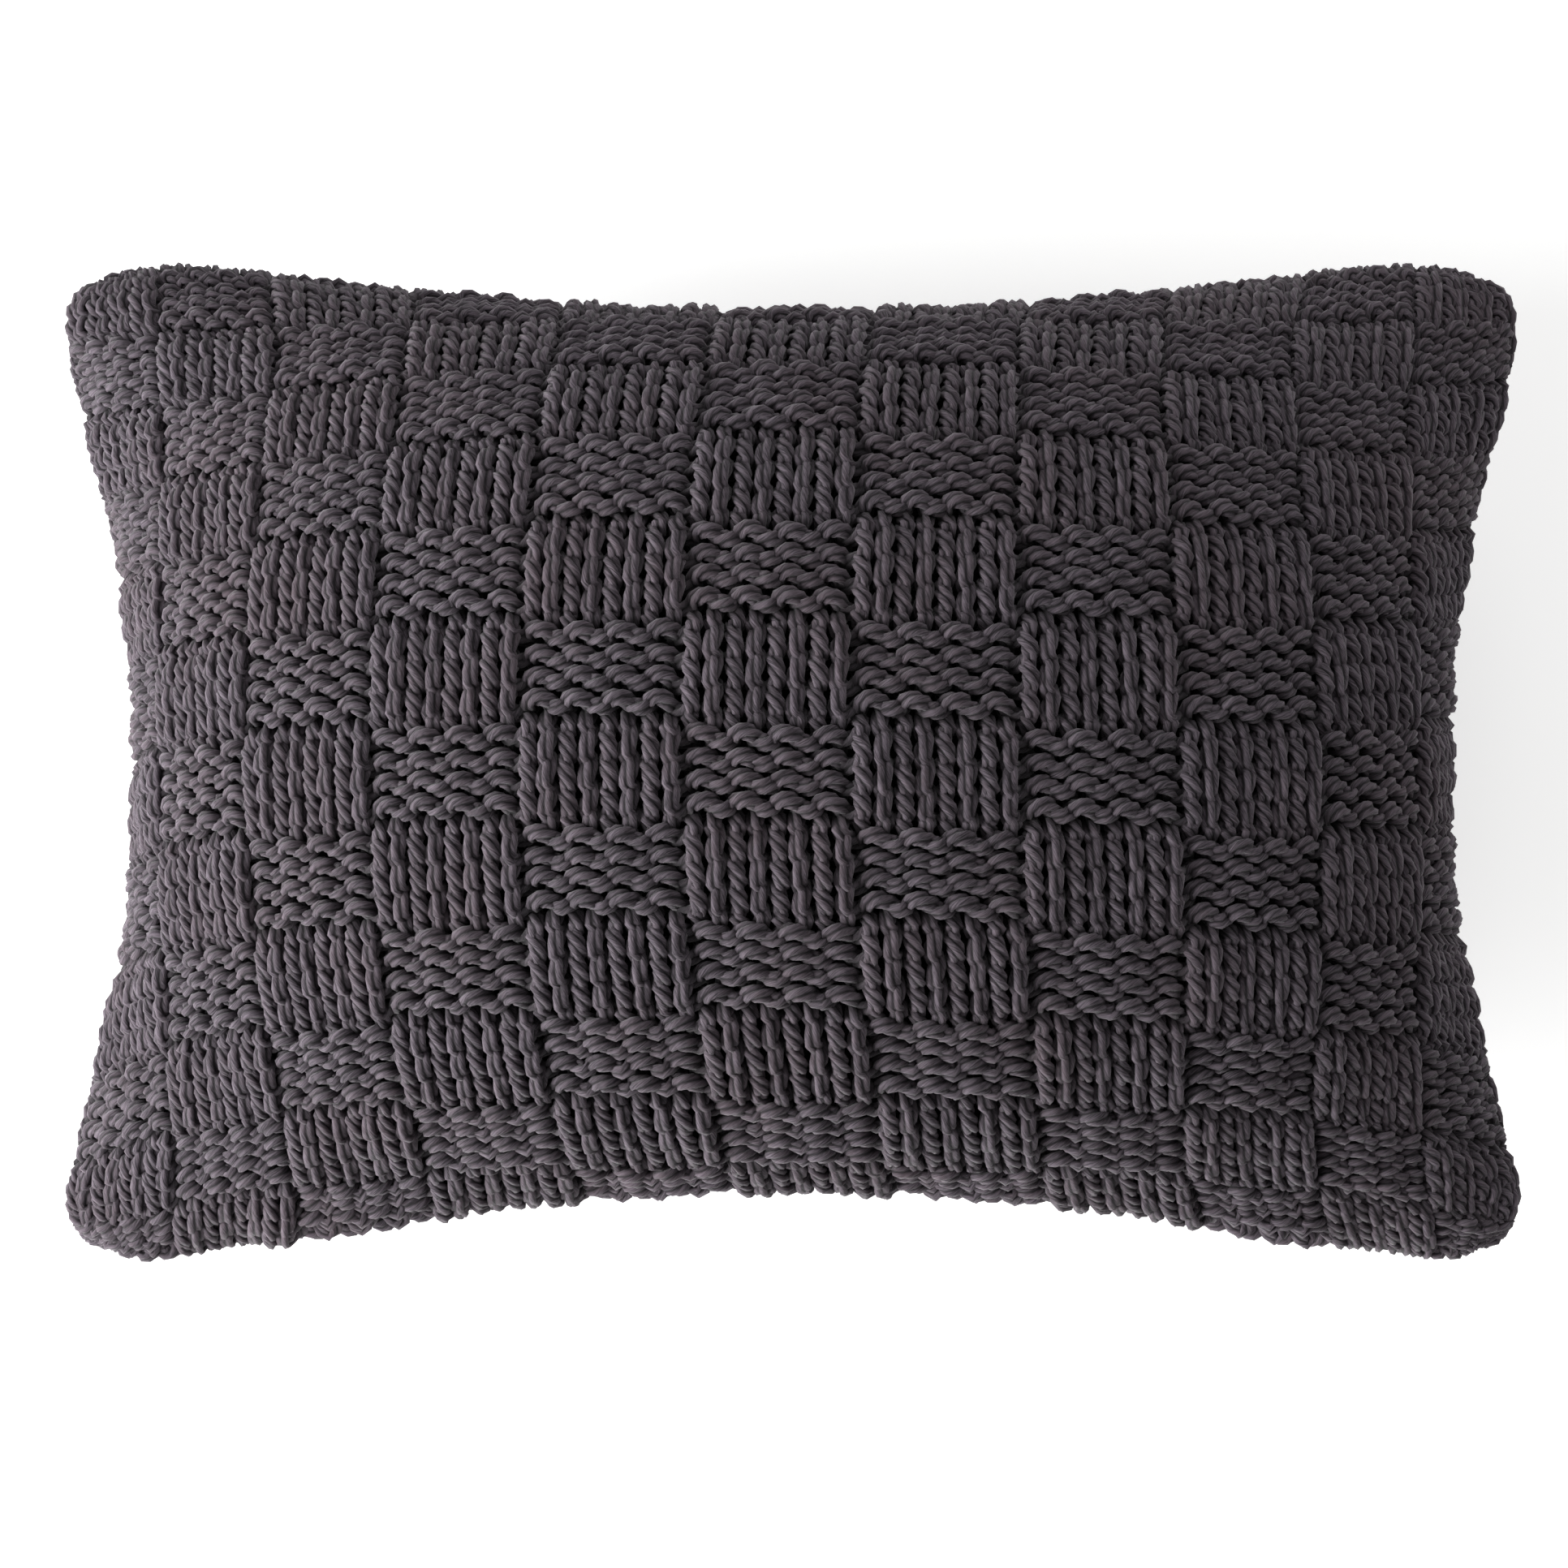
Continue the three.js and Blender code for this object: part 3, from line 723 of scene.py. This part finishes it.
def panel_grid(side, inset, gap, across, up, opening=0.0, pucker=0.0, lump=0.0):
    """A grid of points on one side of the pillow, and the panel's own flat measure for a weave."""
    u = even_steps(across)
    low = low_edge(u, side, inset, gap, opening)
    v = low[None, :] + (even_steps(up)[:, None] + 1) / 2 * (1 - low[None, :])
    u = np.repeat(u[None, :], up, axis=0)
    x, y, z, nx, ny, nz = surface_point(u, v, np.full_like(u, side), inset, gap)
    edge = np.maximum(np.abs(u), np.abs(v))
    wave = np.sin(u * 61 + np.sin(v * 9) * 2) * np.sin(v * 47 + np.sin(u * 7) * 2)
    down = pucker * (0.5 + 0.5 * wave) * np.clip((edge - 0.72) / 0.2, 0, 1) * np.clip((1 - edge) / 0.05, 0, 1)
    soft = (np.sin(u * 13.1 + 2 * np.sin(v * 5.3)) + np.sin(v * 11.7 + 2 * np.sin(u * 6.1))) / 4 + 0.5
    down = down + lump * soft * np.clip((1 - edge) / 0.2, 0, 1)
    points = np.stack([x - nx * down, y - ny * down, z - nz * down], axis=-1)
    return points, np.stack([u * LENGTH / 2, v * WIDTH / 2], axis=-1)


def panel_object(name, side, inset, thickness, gap, material, **shape):
    """A cloth panel with two skins and closed edges."""
    across, up = PANEL_GRID
    outer, flat = panel_grid(side, inset, gap, across, up, **shape)
    inner, _ = panel_grid(side, inset + thickness, gap, across, up, **shape)
    count = across * up
    ids = np.arange(count).reshape(up, across)
    skin = quads(ids)
    ring = np.concatenate([ids[0, :-1], ids[:-1, -1], ids[-1, :0:-1], ids[:0:-1, 0]])
    onward = np.roll(ring, -1)
    walls = np.column_stack([ring, onward, onward + count, ring + count])
    faces = np.vstack([skin, skin[:, ::-1] + count, walls[:, ::-1]])
    if side < 0:
        faces = faces[:, ::-1]
    mesh = bpy.data.meshes.new(name)
    mesh.from_pydata(np.vstack([outer.reshape(-1, 3), inner.reshape(-1, 3)]).tolist(), [], faces.tolist())
    layer = mesh.uv_layers.new(name="cloth")
    both = np.vstack([flat.reshape(-1, 2), flat.reshape(-1, 2)])
    order = np.empty(len(mesh.loops), dtype=np.int32)
    mesh.loops.foreach_get("vertex_index", order)
    layer.data.foreach_set("uv", both[order].astype(np.float32).ravel())
    mesh.shade_smooth()
    mesh.materials.append(material)
    return add_object(name, mesh)


# %% [markdown]
# ### Plain weave
# In plain weave each thread passes over one and under the next. The product of two sine waves is positive
# on half of the squares and negative on the others, which says whether the warp or the weft is on top. The
# weave is drawn in the cloth's own flat measure, in metres, so its threads don't change size over the bulge.

# %% Woven cloth
def woven_material(name, warp, weft, pitch, roughness=0.85, sheen=0.1):
    """Plain weave: warp and weft take turns on top, one thread every pitch metres."""
    material, shader = new_material(name, roughness, Sheen_Weight=sheen)
    flat = add_node("ShaderNodeUVMap", {"uv_map": "cloth"}).outputs[0]
    parts = add_node("ShaderNodeSeparateXYZ", Vector=flat)
    u, v = (Field(o) * (math.pi / pitch) for o in parts.outputs[:2])
    over = sine(u) * sine(v)
    threads = size_of(sine(u)) * exceeds(over, 0.0) + size_of(sine(v)) * (1 - exceeds(over, 0.0))
    slub = noise(place_vector(), 180.0, 3.0)
    both = mix_colours(exceeds(over, 0.0), warp, weft)
    # Each thread is painted darker towards its edges, down to black where it dives under the crossing thread:
    # painted shade. The slub noise adds random tone on top.
    wire(mix_colours(between(threads * 0.5 + slub * 0.6, 0.0, 1.0), (0.0, 0.0, 0.0, 1), both),
         shader.inputs["Base Color"])
    bump(threads + slub * 0.4, pitch * 0.4, 0.7, shader)
    return material


lining_cloth = woven_material("lining_cloth", (0.014, 0.0125, 0.014, 1), (0.018, 0.016, 0.018, 1), 0.0006)
insert_cloth = woven_material("insert_cloth", (0.80, 0.78, 0.73, 1), (0.86, 0.84, 0.79, 1), 0.00045)
LINING_INSET, LINING_THICKNESS = 0.0114, 0.0008
CASE_INSET, CASE_THICKNESS = 0.0154, 0.0006
SEAM_GAP, ZIP_OPENING = 0.0002, 0.0133
for face, side in (("front", 1), ("back", -1)):
    lining = panel_object(f"lining_{face}_cloth", side, LINING_INSET, LINING_THICKNESS, SEAM_GAP,
                          lining_cloth, opening=ZIP_OPENING, lump=0.0002)
    case = panel_object(f"insert_case_{face}", side, CASE_INSET, CASE_THICKNESS, SEAM_GAP,
                        insert_cloth, pucker=0.0012, lump=0.0006)
    for piece, node, slot in ((lining, f"lining_{face}", "lining_cloth"),
                              (case, f"insert_shell_{face}", "insert_cloth")):
        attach(piece, "pillow")
        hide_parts(node)
    print(lining.name, case.name, "faces", len(lining.data.polygons), len(case.data.polygons))

# %% [markdown]
# ### The stuffing
# The fill of a cheap, washable insert is loose polyester fibre. It has no skin of its own, so it is one
# closed lump: the front and the back grid meet at the rim, and a slow wave makes it uneven. Noise at two
# sizes gives it tufts and hairs, which would need millions of strands as geometry and are never seen.

# %% Fibre fill
fill_fibre, fill_shader = new_material("fill_fibre", 0.95, Sheen_Weight=0.4)
tufts = noise(place_vector(), 60.0, 5.0, 0.7)
hairs = noise(place_vector(), 900.0, 3.0, 0.7)
wire(mix_colours(between(tufts * 0.7 + hairs * 0.5, 0.0, 1.0), (0.60, 0.58, 0.54, 1), (0.92, 0.91, 0.88, 1)),
     fill_shader.inputs["Base Color"])
bump(tufts * 0.6 + hairs * 0.4, 0.003, 0.8, fill_shader)


FILL_INSET, FILL_LUMP, RIM_WELD = 0.0168, 0.003, 0.00002


def fill_object(name, inset):
    """One closed lump: the front grid and the back grid share their rim."""
    across, up = FILL_GRID
    front, _ = panel_grid(1, inset, 0.0, across, up, lump=FILL_LUMP)
    back, _ = panel_grid(-1, inset, 0.0, across, up, lump=FILL_LUMP)
    skin = quads(np.arange(across * up).reshape(up, across))
    mesh = bpy.data.meshes.new(name)
    mesh.from_pydata(np.vstack([front.reshape(-1, 3), back.reshape(-1, 3)]).tolist(), [],
                     np.vstack([skin, skin[:, ::-1] + across * up]).tolist())
    shape = bmesh.new()
    shape.from_mesh(mesh)
    bmesh.ops.remove_doubles(shape, verts=shape.verts, dist=RIM_WELD)
    bmesh.ops.recalc_face_normals(shape, faces=shape.faces)
    shape.to_mesh(mesh)
    shape.free()
    mesh.shade_smooth()
    mesh.materials.append(fill_fibre)
    return add_object(name, mesh)


stuffing = fill_object("insert_stuffing", FILL_INSET)
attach(stuffing, "pillow")
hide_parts("insert_fill")
print("fill faces", len(stuffing.data.polygons))

# %% [markdown]
# ## The zip
# A dress zip of nylon coil closes the bottom seam. Each tape is a narrow woven band, and along its edge
# runs a coil of stiff nylon whose turns catch those of the other coil. The tapes, the coil cores, the stops,
# the slider and its tab keep their exact CAD shapes. On top of them come the parts too fine for CAD: the
# coil's turns, wound by the same tree as the seam yarn, and the thread that sews the tapes in.

# %% Zip path
ARC_CENTRE, TAPE_RADIUS, ZIP_HALF = -0.965266, 0.826766, 0.150
COIL_DEPTH, COIL_HEIGHT, COIL_TURNS = 0.0018, 0.00145, 205.0
COIL_END = 0.004


def zip_point(run, depth, height):
    """A point along the zip: run along it, depth outward from the tapes' inner face, height from the seam."""
    radius = TAPE_RADIUS - depth
    angle = np.asarray(run) / TAPE_RADIUS
    return np.column_stack([radius * np.sin(angle), ARC_CENTRE + radius * np.cos(angle),
                            np.full(len(np.atleast_1d(run)), SEAM + height)])


coil_nylon = thread_material("coil_turns", (0.020, 0.018, 0.021, 1), (0.045, 0.041, 0.046, 1), 0.42)
run = np.linspace(-ZIP_HALF + COIL_END, ZIP_HALF - COIL_END, 220)
for face, side, start in (("front", 1, 0.0), ("back", -1, math.pi)):
    coil = grow(wind_tree, f"zip_coil_turns_{face}",
                {"Turns": COIL_TURNS, "Coil Radius": 0.00088, "Flatness": 0.95, "Strand Radius": 0.00026,
                 "Points per Turn": 11, "Sides": 6, "Start": start, "Material": coil_nylon},
                path_object(f"coil_path_{face}", zip_point(run, COIL_DEPTH, side * COIL_HEIGHT)))
    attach(coil, "pillow")
    print(coil.name, "faces", len(coil.data.polygons))

# %% [markdown]
# ### The thread that holds the tapes
# Each tape is sewn down with two rows of lockstitch, one near the coil and one near the tape's outer edge.
# On the surface a lockstitch is a row of short dashes whose ends sink into the cloth. One dash is made from
# a bent curve, and Instance on Points repeats it along the row, turned to follow the zip's arc.

# %% Sewing stitches
stitch_tree, given = new_tree("stitches", {
    "Path": ("NodeSocketGeometry", None), "Stitches": ("NodeSocketInt", 70),
    "Stitch Length": ("NodeSocketFloat", 0.0032), "Thread Radius": ("NodeSocketFloat", 0.00028),
    "Material": ("NodeSocketMaterial", None)})
line = add_node("GeometryNodeMeshToCurve", Mesh=given["Path"])
spots = add_node("GeometryNodeResampleCurve", Curve=line.outputs[0], Count=given["Stitches"])
direction = add_node("FunctionNodeAlignRotationToVector", {"axis": "X"},
                     Vector=add_node("GeometryNodeInputTangent").outputs[0])
half = Field(given["Stitch Length"]) / 2
dash = add_node("GeometryNodeCurveQuadraticBezier", Resolution=6)
wire(xyz(-half, 0.0, 0.0), dash.inputs["Start"])
wire(xyz(0.0, Field(given["Thread Radius"]) * -1.6, 0.0), dash.inputs["Middle"])
wire(xyz(half, 0.0, 0.0), dash.inputs["End"])
thread = round_tube(dash.outputs[0], 6, given["Thread Radius"])
placed = add_node("GeometryNodeInstanceOnPoints", Points=spots.outputs[0], Instance=thread,
                  Rotation=direction.outputs[0])
end_tree(add_node("GeometryNodeSetShadeSmooth", Geometry=placed.outputs[0]).outputs[0], given["Material"])

sewing_thread = thread_material("sewing_thread", (0.030, 0.026, 0.030, 1), (0.10, 0.088, 0.098, 1), 0.6)
SEWN_HALF, TAPE_FACE = 0.157, 0.00085
run = np.linspace(-SEWN_HALF, SEWN_HALF, 120)
for face, side in (("front", 1), ("back", -1)):
    for row, height in (("inner", 0.0072), ("outer", 0.0112)):
        stitches = grow(stitch_tree, f"tape_stitches_{face}_{row}",
                        {"Stitches": 78, "Material": sewing_thread},
                        path_object(f"stitch_path_{face}_{row}", zip_point(run, TAPE_FACE, side * height)))
        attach(stitches, "pillow")
        print(stitches.name, "faces", len(stitches.data.polygons))

# %% [markdown]
# ### Finishes of the zip
# A zip tape is a narrow herringbone band, so its ribs zigzag along its length. The coil's core is smooth
# nylon. The slider, the tab and the stops are die-cast metal with a black nickel plating, which wears paler
# on sharp edges: the Pointiness value finds those edges. The CAD meshes stay as they are.

# %% Zip materials
tape_cloth, tape_shader = new_material("tape_cloth", 0.8, Sheen_Weight=0.1)
parts = add_node("ShaderNodeSeparateXYZ", Vector=place_vector())
px, _, pz = (Field(o) for o in parts.outputs)
RIB_PITCH, ZIGZAG_WIDTH = 0.0007, 0.0014
zigzag = size_of(sine(pz * (math.pi / ZIGZAG_WIDTH))) * 2.4
ribs = sine(px * (2 * math.pi / RIB_PITCH) + zigzag) * 0.5 + 0.5
lint = noise(place_vector(), 700.0, 3.0)
wire(mix_colours(between(ribs * 0.6 + lint * 0.5, 0.0, 1.0), (0.010, 0.009, 0.011, 1),
                 (0.040, 0.036, 0.041, 1)), tape_shader.inputs["Base Color"])
bump(ribs * 0.8 + lint * 0.4, 0.0003, 0.8, tape_shader)

core_nylon, core_shader = new_material("coil_nylon", 0.4)
dust = noise(place_vector(), 500.0, 2.0)
wire(mix_colours(dust, (0.016, 0.014, 0.017, 1), (0.034, 0.030, 0.035, 1)), core_shader.inputs["Base Color"])
bump(dust, 0.0002, 0.3, core_shader)

zip_metal, metal_shader = new_material("zip_metal", 0.35, Metallic=1.0)
cloud = noise(place_vector(), 240.0, 3.0)
scratch_place = add_node("ShaderNodeMapping", Vector=place_vector())
scratch_place.inputs["Scale"].default_value = (300.0, 4000.0, 4000.0)
scratches = noise(scratch_place.outputs[0], 1.0, 2.0)
worn = add_node("ShaderNodeNewGeometry").outputs["Pointiness"]
wire(mix_colours(between((Field(worn) - 0.48) * 8 + (cloud - 0.5), 0.0, 1.0), (0.045, 0.045, 0.048, 1),
                 (0.16, 0.157, 0.157, 1)), metal_shader.inputs["Base Color"])
wire(0.24 + cloud * 0.2 + scratches * 0.12, metal_shader.inputs["Roughness"])
bump(scratches, 0.00008, 0.25, metal_shader)

finishes = {"zip_tape": tape_cloth, "zip_coil": core_nylon}
for name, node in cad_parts.items():
    if name.startswith("zip_"):
        finish = next((m for start, m in finishes.items() if name.startswith(start)), zip_metal)
        node.data.materials.clear()
        node.data.materials.append(finish)
print("zip finishes set")

# %% [markdown]
# ## The table
# Small things are often shown on a pale sheet that glows a little, because that softens the shadows from
# below. The floor does the same with a weak emission, and it is large enough to fill a low view.

# %% Floor
FLOOR_HALF, FLOOR_GLOW = 20, 0.50
floor_mesh = bpy.data.meshes.new("floor")
corners = [(sx * FLOOR_HALF, sy * FLOOR_HALF, 0) for sx, sy in ((-1, -1), (1, -1), (1, 1), (-1, 1))]
floor_mesh.from_pydata(corners, [], [(0, 1, 2, 3)])
floor = add_object("floor", floor_mesh)
floor_paint, floor_shader = new_material("pale_floor", 0.9)
wire(mix_colours(noise(place_vector(), 3.0), (0.86, 0.86, 0.86, 1), (0.88, 0.88, 0.87, 1)),
     floor_shader.inputs["Base Color"])
floor_shader.inputs["Emission Color"].default_value = (1, 1, 1, 1)
floor_shader.inputs["Emission Strength"].default_value = FLOOR_GLOW
floor_mesh.materials.append(floor_paint)
